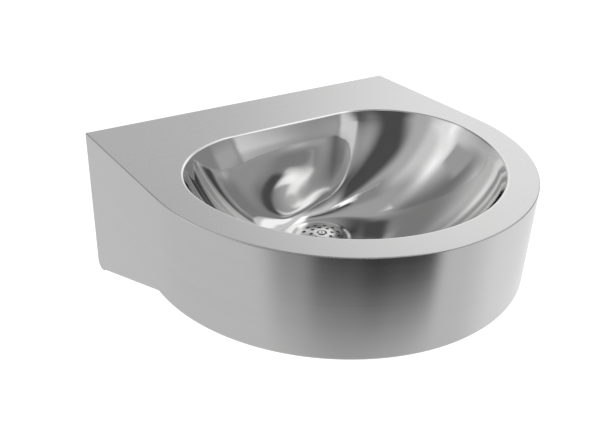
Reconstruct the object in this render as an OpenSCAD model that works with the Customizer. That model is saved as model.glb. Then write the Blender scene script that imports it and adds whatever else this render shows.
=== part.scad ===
// Wall-hung hand wash basin of stainless steel sheet, with a half-round front, a pressed bowl
// and a sieve waste held by one central screw.
// Millimetres, X to the right, Y towards the wall, Z up. The wall is the plane y = 0.
// The origin is the centre of the four wall fixing holes.

/* [Deck] */
// Overall width, which is also the diameter of the half-round front
width = 450; // [430:5:520]
// Projection from the wall to the front of the apron
reach = 422; // [410:2:470]
// Thickness of the deck and apron sheet
sheet = 1.5; // [1:0.1:2.2]
// Radius of the outer top edge of the deck
edge_r = 1.4; // [0.6:0.1:2]

/* [Bowl opening] */
// Rim between the opening and each side of the basin
rim_side = 35; // [31:1:45]
// Flat rim between the opening and the front of the apron
rim_front = 32; // [26:1:36]
// Flat ledge between the wall and the opening
ledge = 91; // [86:1:100]
// Radius of the two rear corners of the opening
corner_r = 115; // [100:1:125]

/* [Bowl] */
// Depth from the deck to the flat floor of the bowl
depth = 119; // [100:1:140]
// Thickness of the pressed bowl
bowl_t = 1.2; // [0.8:0.1:1.6]
// Radius of the polished lip where the deck turns down into the bowl
lip_r = 3; // [2:0.2:4]
// Lean of the bowl's wall from upright where it leaves the lip, in degrees
draft = 24; // [18:0.5:27]
// Depth from the deck to the foot of the wall's straight stretch
wall_d = 10; // [7:1:18]
// How much further down the wall's line pulls the curve below its foot
pull_d = 36; // [24:1:44]
// How far out the floor's level pulls the curve, as a share of its width
floor_share = 0.52; // [0.4:0.02:0.6]
// Distance from the wall to the centre of the drain
drain_y = 175; // [168:1:190]
// Width of the flat ring around the recess of the drain
flat_w = 2.5; // [1:0.5:6]
// Radius of the drain hole
hole_r = 25.5; // [25:0.1:26.5]
// Depth of the recess that the sieve sits in
recess_d = 2; // [1:0.2:3]

/* [Apron] */
// Height of the apron at the front
front_h = 116; // [100:1:135]
// Height of the side panels at the wall, to their corner before it is rounded
rear_h = 189; // [178:1:220]
// Distance from the wall at which the lower edge bends from slope to level
bend_y = 186; // [160:1:196]
// Radius of the lower rear corner of each side panel
heel_r = 10; // [4:1:14]
// Width of the safe edge folded inwards along the lower edge
return_w = 12; // [8:1:16]

/* [Wall fixing] */
// Distance from each side of the basin in to the fixing holes
fix_side = 40; // [20:1:50]
// Height of the lower holes above the lowest point of the side panels
fix_low = 44; // [40:1:70]
// Distance from the top of the deck down to the upper holes
fix_top = 45; // [35:1:50]
// Radius of each fixing hole, for an M8 screw
fix_r = 4.5; // [4:0.1:5.5]
// Thickness of the wall brackets
bracket_t = 3; // [2:0.5:4]
// Width of a bracket across the wall
bracket_w = 60; // [54:1:66]
// Length of a bracket along the side panel
bracket_leg = 40; // [30:1:44]

/* [Ledge] */
// Thickness of the rail along the wall
rail_t = 2; // [1.5:0.5:3]
// Height of the rail against the wall
rail_h = 38; // [30:1:44]
// Width of the rail under the deck
rail_w = 24; // [18:1:28]
// Distance from each side panel to the end of the stiffening channel
channel_end = 73.5; // [50:0.5:110]
// Width of the stiffening channel
channel_w = 34; // [28:1:38]
// Depth of the stiffening channel
channel_h = 18; // [12:1:24]

/* [Waste] */
// Width of the seat around the drain hole that the sieve rests on
seat_w = 5.5; // [4:0.1:7]
// Thickness of the sieve sheet
sieve_t = 1.2; // [1:0.1:1.5]
// Width of the sieve's flat flange
flange_w = 4; // [3:0.1:5]
// Rise of the dome above the flange
dome_h = 3.6; // [3:0.1:5]
// Radius of each sieve hole
sieve_hole_r = 2.4; // [1.8:0.1:2.6]
// Place of the inner ring of holes, as a share of the way from the cup to the flange
inner_share = 0.31; // [0.28:0.01:0.36]
// Number of holes in the inner ring
inner_count = 8; // [6:1:10]
// Place of the outer ring of holes, as a share of the way from the cup to the flange
outer_share = 0.76; // [0.7:0.01:0.8]
// Number of holes in the outer ring
outer_count = 12; // [10:1:16]
// Radius of the threaded tail, G 1 1/4
tail_r = 20.955; // [20:0.005:22]
// Length of the threaded tail
tail_l = 34; // [25:1:45]
// Wall of the waste body
body_wall = 3; // [2:0.5:4]
// Radius of the central screw, M6
screw_r = 3; // [2.5:0.1:3.2]

/* [Earth tag] */
// Width of the tag
tag_w = 24; // [20:1:28]
// Thickness of the tag
tag_t = 2; // [1.5:0.5:3]
// Length of the tag below the channel
tag_l = 30; // [26:1:40]
// Distance from the end of the channel to the middle of the tag
tag_in = 20; // [16:1:120]
// Radius of the earth bolt, M6
bolt_r = 3; // [2.5:0.5:3]

/* [Hidden] */
$fn = 96;

// Amount by which a cutting solid runs past what it cuts
over = 1;
// Running fit of a screw in its thread or hole, per side
fit = 0.05;
// Gap under a piece that is laid on its seat and lifts off
seat_gap = 0.15;

// The fixing holes, and the top of the deck above their centre
fix_x = width - 2 * fix_side;
fix_z = rear_h - fix_top - fix_low;
deck_z = fix_top + fix_z / 2;
outer_r = width / 2;
outer_y = outer_r - reach;
under_deck = deck_z - sheet;

// Opening: a big front arc, two corner arcs inside it and a straight rear edge. A corner takes
// at most this share of the opening's depth from front to back.
corner_limit_share = 0.45;
open_r = outer_r - rim_side;
open_y = rim_front + open_r - reach;
round_r = min(corner_r, corner_limit_share * (reach - rim_front - ledge));
corner_y = -ledge - round_r;
corner_x = sqrt(pow(open_r - round_r, 2) - pow(corner_y - open_y, 2));
corner_share_angle = atan2(corner_y - open_y, corner_x);
drain_at = -drain_y;

// Steps round the opening, and steps along each stretch of the bowl's section
around = 72;
lip_steps = 3;
curve_steps = 14;

// Recess of the drain, a little wider than the sieve flange
flange_r = hole_r + seat_w;
recess_play = 2.5;
recess_r = flange_r + recess_play;
recess_slope = 2;
floor_r = recess_r + recess_slope + flat_w;
seat_z = deck_z - depth - recess_d;

// Seals of the waste
seal_t = 1.5;
seal_edge = 0.6;
lower_seal_t = 3;
lower_seal_w = 7;

// Sieve
cup_r = 6;
cup_d = 3.2;
sieve_z = seat_z + seal_t + seat_gap;
dome_r = flange_r - flange_w;
dome_top = sieve_z + sieve_t + dome_h;
dome_ball = (pow(dome_r, 2) + pow(dome_h, 2)) / (2 * dome_h);
cup_floor = dome_top - cup_d;
dome_steps = 5;

// Central screw and its washer
washer_t = 0.8;
washer_play = 0.3;
head_share = 1.4;
head_r = screw_r * head_share;
head_h = 2.6;
socket_r = 2;
socket_d = 1.4;
head_z = cup_floor + washer_t + 2 * seat_gap;

// Waste body, hung from the bowl by the screw
body_z = seat_z - bowl_t - lower_seal_t;
body_flange_h = 3;
body_flange_w = hole_r + lower_seal_w;
body_cup_h = 17;
body_cone_h = 7;
hub_h = 13;
hub_wall = 2.5;
arm_w = 4;
insert_share = 1.5;
insert_r = screw_r * insert_share;
hub_r = insert_r + hub_wall;

// Pads of sound-deadening rubber; the bowl's is a band between two of the curve's steps
pad_t = 2.5;
glue_t = 0.2;
pad_first = 7;
pad_last = 11;
pad_edge = 2;
ledge_pad_x = 42;
ledge_pad_y = 38;

// Earth tag fasteners
hex_share = 1.85;
bolt_head_h = 4;
nut_h = 5;
earth_washer_t = 1.2;
earth_washer_share = 2;
bolt_spare = 3;

// Places along the ledge
channel_front = ledge - lip_r - pad_edge - channel_w / 4;
channel_rear = channel_front - channel_w;
channel_half = outer_r - sheet - channel_end;
tag_x = channel_half - tag_in;

// Inner face of the side panels, slope of their lower edge and lower end of the brackets
side_x = outer_r - sheet;
slope = (rear_h - front_h) / bend_y;
bracket_low = deck_z - rear_h + slope * bracket_leg + 2 * sheet;

// Distance from the drain to a circle, along the direction a
function hit_circle(a, cx, cy, r) =
    let(dx = cx, dy = cy - drain_at, b = dx * cos(a) + dy * sin(a), c = dx * dx + dy * dy - r * r)
    b + sqrt(b * b - c);

// Distance from the drain to the opening drawn in by s, along the direction a
function opening_at(a, s) =
    let(
        ux = abs(cos(a)),
        flat_t = sin(a) > 0 ? (-ledge - s - drain_at) / sin(a) : -1,
        side = cos(a) < 0 ? -1 : 1,
        t = hit_circle(a, side * corner_x, corner_y, round_r - s),
        px = t * ux - corner_x,
        py = drain_at + t * sin(a) - corner_y
    )
    flat_t > 0 && flat_t * ux <= corner_x ? flat_t
    : atan2(py, px) >= corner_share_angle ? t
    : hit_circle(a, 0, open_y, open_r - s);

function ring_angle(i) = 90 + i * 360 / around;

// The opening's outline in plan
opening_points = [for (i = [0 : around - 1])
    let(a = ring_angle(i), t = opening_at(a, 0)) [t * cos(a), drain_at + t * sin(a)]];

// One ring of the bowl: the outline drawn in by s, at height z
function lip_ring(s, z) = [for (i = [0 : around - 1])
    let(a = ring_angle(i), t = opening_at(a, s)) [t * cos(a), drain_at + t * sin(a), z]];

// The wall's straight stretch, from the end of the lip down to its foot
wall_run = wall_d - lip_r * (1 - sin(draft));

// One ring of the curve from the wall's foot at u = 0 to the flat ring at u = 1, on the inner
// face or a distance out from it. The curve leaves the wall along its line and ends level.
function curve_ring(u, out) =
    let(
        foot_s = (lip_r - out) * cos(draft) + wall_run * tan(draft),
        foot_z = deck_z - lip_r + (lip_r - out) * sin(draft) - wall_run,
        flat_z = deck_z - depth - out,
        w = [pow(1 - u, 3), 3 * u * pow(1 - u, 2), 3 * pow(u, 2) * (1 - u), pow(u, 3)],
        z = w[0] * foot_z + w[1] * (foot_z - pull_d) + (w[2] + w[3]) * flat_z
    )
    [for (i = [0 : around - 1])
        let(
            a = ring_angle(i),
            foot = opening_at(a, foot_s),
            pulled = opening_at(a, foot_s + pull_d * tan(draft)),
            level = floor_r + floor_share * (foot - floor_r),
            t = w[0] * foot + w[1] * pulled + w[2] * level + w[3] * floor_r
        )
        [t * cos(a), drain_at + t * sin(a), z]];

// Rings of the curve from its step first to its step last, up or down
function curve_rings(first, last, out) =
    [for (k = [first : last > first ? 1 : -1 : last]) curve_ring(k / curve_steps, out)];

// Rings of the lip, from the deck's edge round to the wall, with the radius r
function lip_rings(r, first, last) =
    [for (k = [first : last > first ? 1 : -1 : last])
        let(q = (90 - draft) * k / lip_steps)
        lip_ring(r * sin(q), deck_z - lip_r + r * cos(q))];

function round_ring(r, z) = [for (i = [0 : around - 1])
    let(a = ring_angle(i)) [r * cos(a), drain_at + r * sin(a), z]];

// Rings of the bowl's section, down the inside, through the drain hole and up the outside
bowl_rings = concat(
    lip_rings(lip_r, 0, lip_steps),
    curve_rings(0, curve_steps, 0),
    [round_ring(recess_r + recess_slope, deck_z - depth), round_ring(recess_r, seat_z),
        round_ring(hole_r, seat_z), round_ring(hole_r, seat_z - bowl_t),
        round_ring(recess_r + bowl_t, seat_z - bowl_t),
        round_ring(recess_r + recess_slope, deck_z - depth - bowl_t)],
    curve_rings(curve_steps, 0, bowl_t),
    lip_rings(lip_r - bowl_t, lip_steps, 0)
);

// A closed solid whose section is a loop of rings, each with the same number of points
module ring_solid(rings) {
    count = len(rings);
    sides = len(rings[0]);
    points = [for (ring = rings) for (p = ring) p];
    faces = [for (k = [0 : count - 1]) for (i = [0 : sides - 1])
        let(a = k * sides + i, b = k * sides + (i + 1) % sides,
            c = (k + 1) % count * sides + (i + 1) % sides, d = (k + 1) % count * sides + i)
        each [[a, b, c], [a, c, d]]];
    polyhedron(points, faces);
}

// Half-round plan outline drawn in by s, open to the wall
module plan(s) {
    r = outer_r - s;
    intersection() {
        translate([0, outer_y])
            circle(r);
        translate([-r, outer_y - r])
            square([2 * r, r]);
    }
    translate([-r, outer_y])
        square([2 * r, -outer_y]);
}

// A side-view outline, given as y and z, carried right across the basin
module across(points) {
    rotate([90, 0, 90])
        linear_extrude(width + 2 * over, center = true)
            polygon(points);
}

// Side view of the panels: level at the front, sloping down to a round heel at the wall
slope_angle = atan(slope);
heel_z = heel_r / tan(45 - slope_angle / 2);
heel_steps = 6;
side_points = concat(
    [[over, deck_z + over], [over, deck_z - rear_h + heel_z], [0, deck_z - rear_h + heel_z]],
    [for (k = [1 : heel_steps]) let(q = -(90 + slope_angle) * k / heel_steps)
        [heel_r * cos(q) - heel_r, deck_z - rear_h + heel_z + heel_r * sin(q)]],
    [[-bend_y, deck_z - front_h], [-reach - over, deck_z - front_h],
        [-reach - over, deck_z + over]]
);

// Band along the lower edge, as thick as the sheet
return_y = 2 * heel_r;
rise = sheet / cos(slope_angle);
return_points = [
    [-return_y, deck_z - rear_h + slope * return_y],
    [-bend_y, deck_z - front_h],
    [-reach - over, deck_z - front_h],
    [-reach - over, deck_z - front_h + sheet],
    [-bend_y - (rise - sheet) / slope, deck_z - front_h + sheet],
    [-return_y, deck_z - rear_h + slope * return_y + rise]
];

// Profile that rounds the top edge of the deck
module edge_cut() {
    r = min(edge_r, sheet);
    difference() {
        translate([-r, -r])
            square(r + over);
        translate([-r, -r])
            circle(r);
    }
}

module deck() {
    color("silver")
    difference() {
        translate([0, 0, under_deck])
            linear_extrude(sheet)
                difference() {
                    plan(0);
                    polygon(opening_points);
                }
        translate([0, outer_y, deck_z])
            rotate([0, 0, 180])
                rotate_extrude(angle = 180)
                    translate([outer_r, 0])
                        edge_cut();
        for (m = [0, 1])
            mirror([m, 0, 0])
                translate([outer_r, outer_y, deck_z])
                    rotate([90, 0, 180])
                        mirror([1, 0, 0])
                            linear_extrude(over - outer_y)
                                edge_cut();
    }
}

module bowl() {
    color("gainsboro")
        ring_solid(bowl_rings);
}

module apron() {
    color("silver")
    union() {
        intersection() {
            translate([0, 0, deck_z - rear_h])
                linear_extrude(rear_h - sheet)
                    difference() {
                        plan(0);
                        plan(sheet);
                    }
            across(side_points);
        }
        intersection() {
            translate([0, 0, deck_z - rear_h])
                linear_extrude(rear_h - sheet)
                    difference() {
                        plan(sheet / 2);
                        plan(return_w);
                    }
            across(return_points);
        }
    }
}

module rear_rail() {
    half = side_x - bracket_w;
    color("lightgray")
    union() {
        translate([-half, -rail_t, under_deck - rail_h])
            cube([2 * half, rail_t, rail_h]);
        translate([-half, -rail_w, under_deck - rail_t])
            cube([2 * half, rail_w, rail_t]);
    }
}

// Angle bracket in the rear corner on the right, with two holes for wall screws
module wall_bracket() {
    tall = under_deck - bracket_low;
    difference() {
        union() {
            translate([side_x - bracket_w, -bracket_t, bracket_low])
                cube([bracket_w, bracket_t, tall]);
            translate([side_x - bracket_t, -bracket_leg, bracket_low])
                cube([bracket_t, bracket_leg, tall]);
        }
        for (z = [-fix_z / 2, fix_z / 2])
            translate([fix_x / 2, over, z])
                rotate([90, 0, 0])
                    cylinder(r = fix_r, h = bracket_t + 2 * over);
    }
}

module left_wall_bracket() {
    color("lightgray")
    mirror([1, 0, 0])
        wall_bracket();
}

module right_wall_bracket() {
    color("lightgray")
        wall_bracket();
}

module ledge_channel() {
    color("lightgray")
    difference() {
        translate([-channel_half, -channel_front, under_deck - channel_h])
            cube([2 * channel_half, channel_w, channel_h]);
        translate([-channel_half - over, sheet - channel_front, under_deck - channel_h + sheet])
            cube([2 * channel_half + 2 * over, channel_w - 2 * sheet, channel_h]);
    }
}

module ledge_pads() {
    color("dimgray")
    for (m = [0, 1])
        mirror([m, 0, 0])
            translate([side_x - pad_edge - ledge_pad_x, -bracket_leg - pad_edge - ledge_pad_y,
                under_deck - pad_t])
                cube([ledge_pad_x, ledge_pad_y, pad_t]);
}

// A flat ring round the axis of the drain, standing on z
module drain_ring(inner, outer, z, tall) {
    translate([0, drain_at, z])
        difference() {
            cylinder(r = outer, h = tall);
            translate([0, 0, -over])
                cylinder(r = inner, h = tall + 2 * over);
        }
}

module bowl_pad() {
    near = bowl_t + glue_t;
    color("dimgray")
        ring_solid(concat(
            curve_rings(pad_first, pad_last, near),
            curve_rings(pad_last, pad_first, near + pad_t)
        ));
}

// The earth bolt's place: its axis runs along Y through the tag
tag_rear = -channel_rear;
bolt_z = under_deck - channel_h - tag_l + tag_w / 2;

// A cylinder along the earth bolt, from y0 towards the room by l
module along_bolt(r, y0, l, sides = $fn) {
    translate([tag_x, y0, bolt_z])
        rotate([90, 0, 0])
            cylinder(r = r, h = l, $fn = sides);
}

module earth_tag() {
    top = under_deck - pad_edge;
    color("lightgray")
    difference() {
        union() {
            translate([tag_x - tag_w / 2, tag_rear, bolt_z])
                cube([tag_w, tag_t, top - bolt_z]);
            along_bolt(tag_w / 2, tag_rear + tag_t, tag_t);
        }
        along_bolt(bolt_r + fit, tag_rear + tag_t + over, tag_t + 2 * over);
    }
}

module earth_bolt() {
    shank = tag_t + 2 * earth_washer_t + nut_h + bolt_spare;
    head_y = tag_rear + tag_t + earth_washer_t;
    color("gold")
    union() {
        along_bolt(bolt_r * hex_share, head_y + bolt_head_h, bolt_head_h, 6);
        along_bolt(bolt_r, head_y, shank);
    }
}

module earth_washers() {
    color("gold")
    for (y = [tag_rear + tag_t + earth_washer_t, tag_rear])
        difference() {
            along_bolt(bolt_r * earth_washer_share, y, earth_washer_t);
            along_bolt(bolt_r + fit, y + over, earth_washer_t + 2 * over);
        }
}

module earth_nut() {
    color("gold")
    difference() {
        along_bolt(bolt_r * hex_share, tag_rear - earth_washer_t, nut_h, 6);
        along_bolt(bolt_r + fit, tag_rear - earth_washer_t + over, nut_h + 2 * over);
    }
}

module upper_seal() {
    color("black")
        drain_ring(hole_r + seal_edge, flange_r - seal_edge, seat_z, seal_t);
}

module lower_seal() {
    color("black")
        drain_ring(hole_r + seal_edge, body_flange_w, body_z, lower_seal_t);
}

module waste_body() {
    inner = hole_r - sieve_t;
    cone_top = -body_cup_h;
    tail_top = cone_top - body_cone_h;
    color("white")
    translate([0, drain_at, body_z])
        difference() {
            union() {
                rotate_extrude()
                    polygon([
                        [inner, 0], [body_flange_w, 0], [body_flange_w, -body_flange_h],
                        [inner + body_wall, -body_flange_h], [inner + body_wall, cone_top],
                        [tail_r, tail_top], [tail_r, tail_top - tail_l],
                        [tail_r - body_wall, tail_top - tail_l], [tail_r - body_wall, tail_top],
                        [inner, cone_top]
                    ]);
                translate([0, 0, -hub_h])
                    cylinder(r = hub_r, h = hub_h);
                for (k = [0 : 2])
                    rotate([0, 0, 120 * k])
                        translate([0, -arm_w / 2, -hub_h])
                            cube([inner + body_wall / 2, arm_w, hub_h - body_flange_h]);
            }
            translate([0, 0, -hub_h - over])
                cylinder(r = insert_r, h = hub_h + 2 * over);
        }
}

module screw_insert() {
    color("goldenrod")
        drain_ring(screw_r + fit, insert_r, body_z - hub_h, hub_h);
}

// Height of the domed sheet above its flange at radius r, for a ball of radius b
function dome_at(r, b) = dome_top - dome_ball + sqrt(b * b - r * r);

module sieve() {
    inner = dome_ball - sieve_t;
    cup_wall = cup_r + sieve_t;
    hole = screw_r + washer_play;
    top = [for (k = [dome_steps : -1 : 0])
        let(r = cup_r + (dome_r - cup_r) * k / dome_steps) [r, dome_at(r, dome_ball)]];
    under = [for (k = [0 : dome_steps])
        let(r = cup_wall + (dome_r - sieve_t - cup_wall) * k / dome_steps)
        [r, max(dome_at(r, inner), sieve_z)]];
    color("silver")
    translate([0, drain_at, 0])
        difference() {
            rotate_extrude()
                polygon(concat(
                    [[flange_r, sieve_z], [flange_r, sieve_z + sieve_t]],
                    top,
                    [[cup_r, cup_floor], [hole, cup_floor], [hole, cup_floor - sieve_t],
                        [cup_wall, cup_floor - sieve_t]],
                    under
                ));
            sieve_holes(cup_wall + inner_share * (dome_r - cup_wall), inner_count);
            sieve_holes(cup_wall + outer_share * (dome_r - cup_wall), outer_count);
        }
}

module sieve_holes(r, count) {
    for (k = [0 : count - 1])
        rotate([0, 0, 360 * (k + 1 / 2) / count])
            translate([r, 0, sieve_z - over])
                cylinder(r = sieve_hole_r, h = dome_h + 2 * sieve_t + 2 * over);
}

module screw_washer() {
    color("lightgray")
        drain_ring(screw_r + washer_play / 2, cup_r - washer_play, cup_floor + seat_gap, washer_t);
}

module waste_screw() {
    tip = body_z - hub_h;
    color("silver")
    translate([0, drain_at, 0])
        difference() {
            union() {
                translate([0, 0, tip])
                    cylinder(r = screw_r, h = head_z - tip + head_h / 2);
                translate([0, 0, head_z])
                    cylinder(r = head_r, h = head_h);
            }
            translate([0, 0, head_z + head_h - socket_d])
                cylinder(r = socket_r, h = socket_d + over, $fn = 6);
        }
}

deck();
bowl();
apron();
rear_rail();
left_wall_bracket();
right_wall_bracket();
ledge_channel();
ledge_pads();
bowl_pad();
earth_tag();
earth_bolt();
earth_washers();
earth_nut();
upper_seal();
lower_seal();
waste_body();
screw_insert();
sieve();
screw_washer();
waste_screw();
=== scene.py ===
"""Looks of a wall-hung hand wash basin of stainless steel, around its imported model.

Metres, X to the right, Y towards the wall, Z up. The wall is the plane y = 0.
"""

import math

import bmesh
import bpy
from mathutils import Matrix, Vector


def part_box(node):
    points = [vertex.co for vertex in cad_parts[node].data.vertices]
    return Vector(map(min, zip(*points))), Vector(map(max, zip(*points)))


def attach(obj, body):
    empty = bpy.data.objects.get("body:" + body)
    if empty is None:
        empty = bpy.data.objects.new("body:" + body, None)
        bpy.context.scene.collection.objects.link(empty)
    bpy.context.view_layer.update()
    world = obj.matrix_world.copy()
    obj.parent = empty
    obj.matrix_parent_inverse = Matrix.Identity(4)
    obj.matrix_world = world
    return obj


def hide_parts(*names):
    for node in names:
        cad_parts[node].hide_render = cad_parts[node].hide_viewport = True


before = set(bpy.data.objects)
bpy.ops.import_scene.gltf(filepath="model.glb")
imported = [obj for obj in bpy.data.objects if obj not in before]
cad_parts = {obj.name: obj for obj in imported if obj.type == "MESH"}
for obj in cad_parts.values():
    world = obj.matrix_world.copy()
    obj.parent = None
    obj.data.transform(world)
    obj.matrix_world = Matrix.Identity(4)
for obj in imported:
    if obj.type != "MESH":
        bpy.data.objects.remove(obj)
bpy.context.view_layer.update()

MM = 0.001

# Sizes read from the frame
deck_low, deck_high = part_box("deck")
HALF = deck_high.x
REACH = -deck_low.y
DECK_Z = deck_high.z
UNDER_DECK = deck_low.z
SHEET = DECK_Z - UNDER_DECK
seal_low, seal_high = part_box("upper_seal")
SEAT_Z = seal_low.z
SEAL_R = seal_high.x
DRAIN_Y = (seal_low.y + seal_high.y) / 2
BODY_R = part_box("waste_body")[1].x

# Sizes of the shell that the boxes do not give
EDGE_R = 1.4 * MM
RIM_SIDE = 35 * MM
RIM_FRONT = 32 * MM
LEDGE = 91 * MM
CORNER_R = 115 * MM
DEPTH = 119 * MM
BOWL_T = 1.2 * MM
LIP_R = 3 * MM
DRAFT = math.radians(24)
WALL_D = 10 * MM
PULL_D = 36 * MM
FLOOR_SHARE = 0.52
HOLE_R = 25.5 * MM
RECESS_R = 33.5 * MM
RECESS_SLOPE = 2 * MM
RECESS_BEND = 1.8 * MM
FLOOR_R = 38 * MM
FRONT_H = 116 * MM
REAR_H = 189 * MM
BEND_Y = 186 * MM
HEEL_R = 10 * MM
RETURN_W = 12 * MM
RETURN_END = 2 * HEEL_R
FOLD_R = 2.2 * MM

# Sizes of the pieces inside and under it
RAIL_T = 2 * MM
BRACKET_T = 3 * MM
FIX_X = 185 * MM
FIX_Z = 50 * MM
FIX_R = 4.5 * MM
BEND_R = 1.5 * MM
EDGE_W = 0.35 * MM
PAD_T = 2.5 * MM
PAD_EXTRA_W = 4 * MM
PAD_CORNER_R = 3 * MM
PAD_EDGE_R = 0.6 * MM
GLUE_T = 0.2 * MM
BOLT_R = 3 * MM
HEX_R = 5.55 * MM
HEAD_H = 4 * MM
FIT = 0.1 * MM
M6_PITCH = 1 * MM

# Where the damping ring starts and ends, as shares of the bowl's curve from its top to the floor
PAD_FIRST = 0.5
PAD_LAST = 0.786

# Sizes of the waste
SIEVE_T = 1.2 * MM
DOME_R = 27 * MM
DOME_H = 3.6 * MM
DOME_BLEND = 1.5 * MM
CUP_R = 6 * MM
CUP_D = 3.2 * MM
CUP_LIP_R = 1 * MM
CUP_FILLET_R = 0.5 * MM
SIEVE_HOLE_R = 2.4 * MM
INNER_HOLES = 8
OUTER_HOLES = 12
INNER_SHARE = 0.31
OUTER_SHARE = 0.76
SCREW_R = 3 * MM
HEAD_R = 4.2 * MM
SCREW_HEAD_H = 2.6 * MM
SOCKET_R = 2 * MM
SOCKET_D = 1.4 * MM
SEAL_GAP = 0.6 * MM
TAIL_R = 20.955 * MM
TAIL_PITCH = 2.309 * MM
TAIL_THREAD_D = 1.4 * MM
BODY_WALL = 3 * MM
BODY_FLANGE_H = 3 * MM
BODY_CUP_H = 17 * MM
BODY_CONE_H = 7 * MM
HUB_R = 7 * MM
HUB_H = 13 * MM
BODY_EDGE = 0.5 * MM
ARMS = 3
ARM_W = 4 * MM
INSERT_R = 4.5 * MM

OUTER_Y = HALF - REACH
OPEN_R = HALF - RIM_SIDE
OPEN_Y = RIM_FRONT + OPEN_R - REACH
CORNER_Y = -LEDGE - CORNER_R
CORNER_X = math.sqrt((OPEN_R - CORNER_R) ** 2 - (CORNER_Y - OPEN_Y) ** 2)
CORNER_ANGLE = math.atan2(CORNER_Y - OPEN_Y, CORNER_X)


# Mesh helpers

BEND_STEPS = 6
EDGE_STEPS = 3
CORNER_STEPS = 5
THREAD_STEPS = 8
HOLE_SIDES = 40
HEX_SIDES = 6
MERGE_GAP = 1e-7
SHARP_ANGLE = math.radians(35)
BEVEL_ANGLE = math.radians(40)
BEVEL_SEGMENTS = 2


def add_piece(name, mesh, material, body, node):
    """An object for a finished mesh, riding on its body and standing for its CAD node."""
    for polygon in mesh.polygons:
        polygon.use_smooth = True
    mesh.set_sharp_from_angle(angle=SHARP_ANGLE)
    piece = bpy.data.objects.new(name, mesh)
    bpy.context.scene.collection.objects.link(piece)
    piece.data.materials.append(material)
    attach(piece, body)
    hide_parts(node)
    return piece


def mesh_of(name, points, faces):
    """A mesh with double points merged and its normals outwards."""
    mesh = bpy.data.meshes.new(name)
    mesh.from_pydata(points, [], faces)
    work = bmesh.new()
    work.from_mesh(mesh)
    bmesh.ops.remove_doubles(work, verts=work.verts, dist=MERGE_GAP)
    bmesh.ops.dissolve_degenerate(work, edges=work.edges, dist=MERGE_GAP)
    bmesh.ops.recalc_face_normals(work, faces=work.faces)
    work.to_mesh(mesh)
    work.free()
    return mesh


def loft(rings, closed=True, loop=True):
    """Points and faces through rings of equal length. loop joins the last ring to the first;
    closed joins each ring's last point to its first. Open ends get a cap each."""
    sides = len(rings[0])
    points = [p for ring in rings for p in ring]
    faces = []
    spans = len(rings) if loop else len(rings) - 1
    steps = sides if closed else sides - 1
    for k in range(spans):
        for i in range(steps):
            a, b = k * sides + i, k * sides + (i + 1) % sides
            c = (k + 1) % len(rings) * sides + (i + 1) % sides
            d = (k + 1) % len(rings) * sides + i
            faces.append((a, b, c, d))
    if not loop:
        faces.append(tuple(reversed(range(sides))))
        faces.append(tuple(range((len(rings) - 1) * sides, len(rings) * sides)))
    return points, faces


def lathe(profile, centre_y, steps):
    """Points and faces of a closed profile, given as (r, z), turned about a vertical axis."""
    rings = []
    for i in range(steps):
        a = 2 * math.pi * i / steps
        rings.append([(r * math.cos(a), centre_y + r * math.sin(a), z) for r, z in profile])
    return loft(rings)


def join(*parts):
    """One list of points and faces out of several."""
    points, faces = [], []
    for part_points, part_faces in parts:
        base = len(points)
        points += part_points
        faces += [tuple(base + i for i in face) for face in part_faces]
    return points, faces


def arc(centre, radius, start, end, steps):
    """Points along an arc, angles in degrees."""
    turns = [math.radians(start + (end - start) * k / steps) for k in range(steps + 1)]
    return [(centre[0] + radius * math.cos(t), centre[1] + radius * math.sin(t)) for t in turns]


def prism(plan, low, high):
    """A plan carried from one height to another."""
    return loft([[(x, y, z) for x, y in plan] for z in (low, high)], loop=False)


def along_x(profile, start, end):
    """A profile of (y, z) carried along X."""
    return loft([[(x, y, z) for y, z in profile] for x in (start, end)], loop=False)


def along_y(profile, start, end):
    """A profile of (x, z) carried along Y."""
    return loft([[(x, y, z) for x, z in profile] for y in (start, end)], loop=False)


def round_box(r0, r1, z0, z1, edge):
    """Profile of a flat ring with rounded edges."""
    return (arc((r1 - edge, z0 + edge), edge, -90, 0, EDGE_STEPS)
            + arc((r1 - edge, z1 - edge), edge, 0, 90, EDGE_STEPS)
            + arc((r0 + edge, z1 - edge), edge, 90, 180, EDGE_STEPS)
            + arc((r0 + edge, z0 + edge), edge, 180, 270, EDGE_STEPS))


def round_rectangle(x0, x1, y0, y1, r):
    """Outline of a rectangle with rounded corners."""
    return (arc((x1 - r, y0 + r), r, -90, 0, CORNER_STEPS)
            + arc((x1 - r, y1 - r), r, 0, 90, CORNER_STEPS)
            + arc((x0 + r, y1 - r), r, 90, 180, CORNER_STEPS)
            + arc((x0 + r, y0 + r), r, 180, 270, CORNER_STEPS))


def circle(x, y, r, sides=HOLE_SIDES):
    return [(x + r * math.cos(2 * math.pi * k / sides), y + r * math.sin(2 * math.pi * k / sides))
            for k in range(sides)]


def hexagon(r):
    return circle(0, 0, r, HEX_SIDES)


def angle_profile(across, down, thick, bend):
    """Section of a bent angle whose outer corner is the origin, one leg along -u and one along -v."""
    centre = (-thick - bend, -thick - bend)
    return ([(-across, -thick)] + arc(centre, bend, 90, 0, BEND_STEPS) + [(-thick, -down), (0, -down)]
            + arc(centre, bend + thick, 0, 90, BEND_STEPS) + [(-across, 0)])


def threaded(upper, lower, root, crest, top, low, pitch, steps):
    """A turned solid with an outside thread between two heights, its other points in upper and lower."""
    count = round((top - low) / pitch * THREAD_STEPS)
    rings = []
    for i in range(steps):
        a = 2 * math.pi * i / steps
        profile = list(upper)
        for k in range(count + 1):
            z = top + (low - top) * k / count
            fade = min(1, (top - z) / pitch, (z - low) / pitch)
            wave = 0.5 - 0.5 * math.cos(2 * math.pi * (z / pitch + i / steps))
            profile.append((root + (crest - root) * fade * wave, z))
        profile += lower
        rings.append([(r * math.cos(a), r * math.sin(a), z) for r, z in profile])
    return loft(rings)


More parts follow.
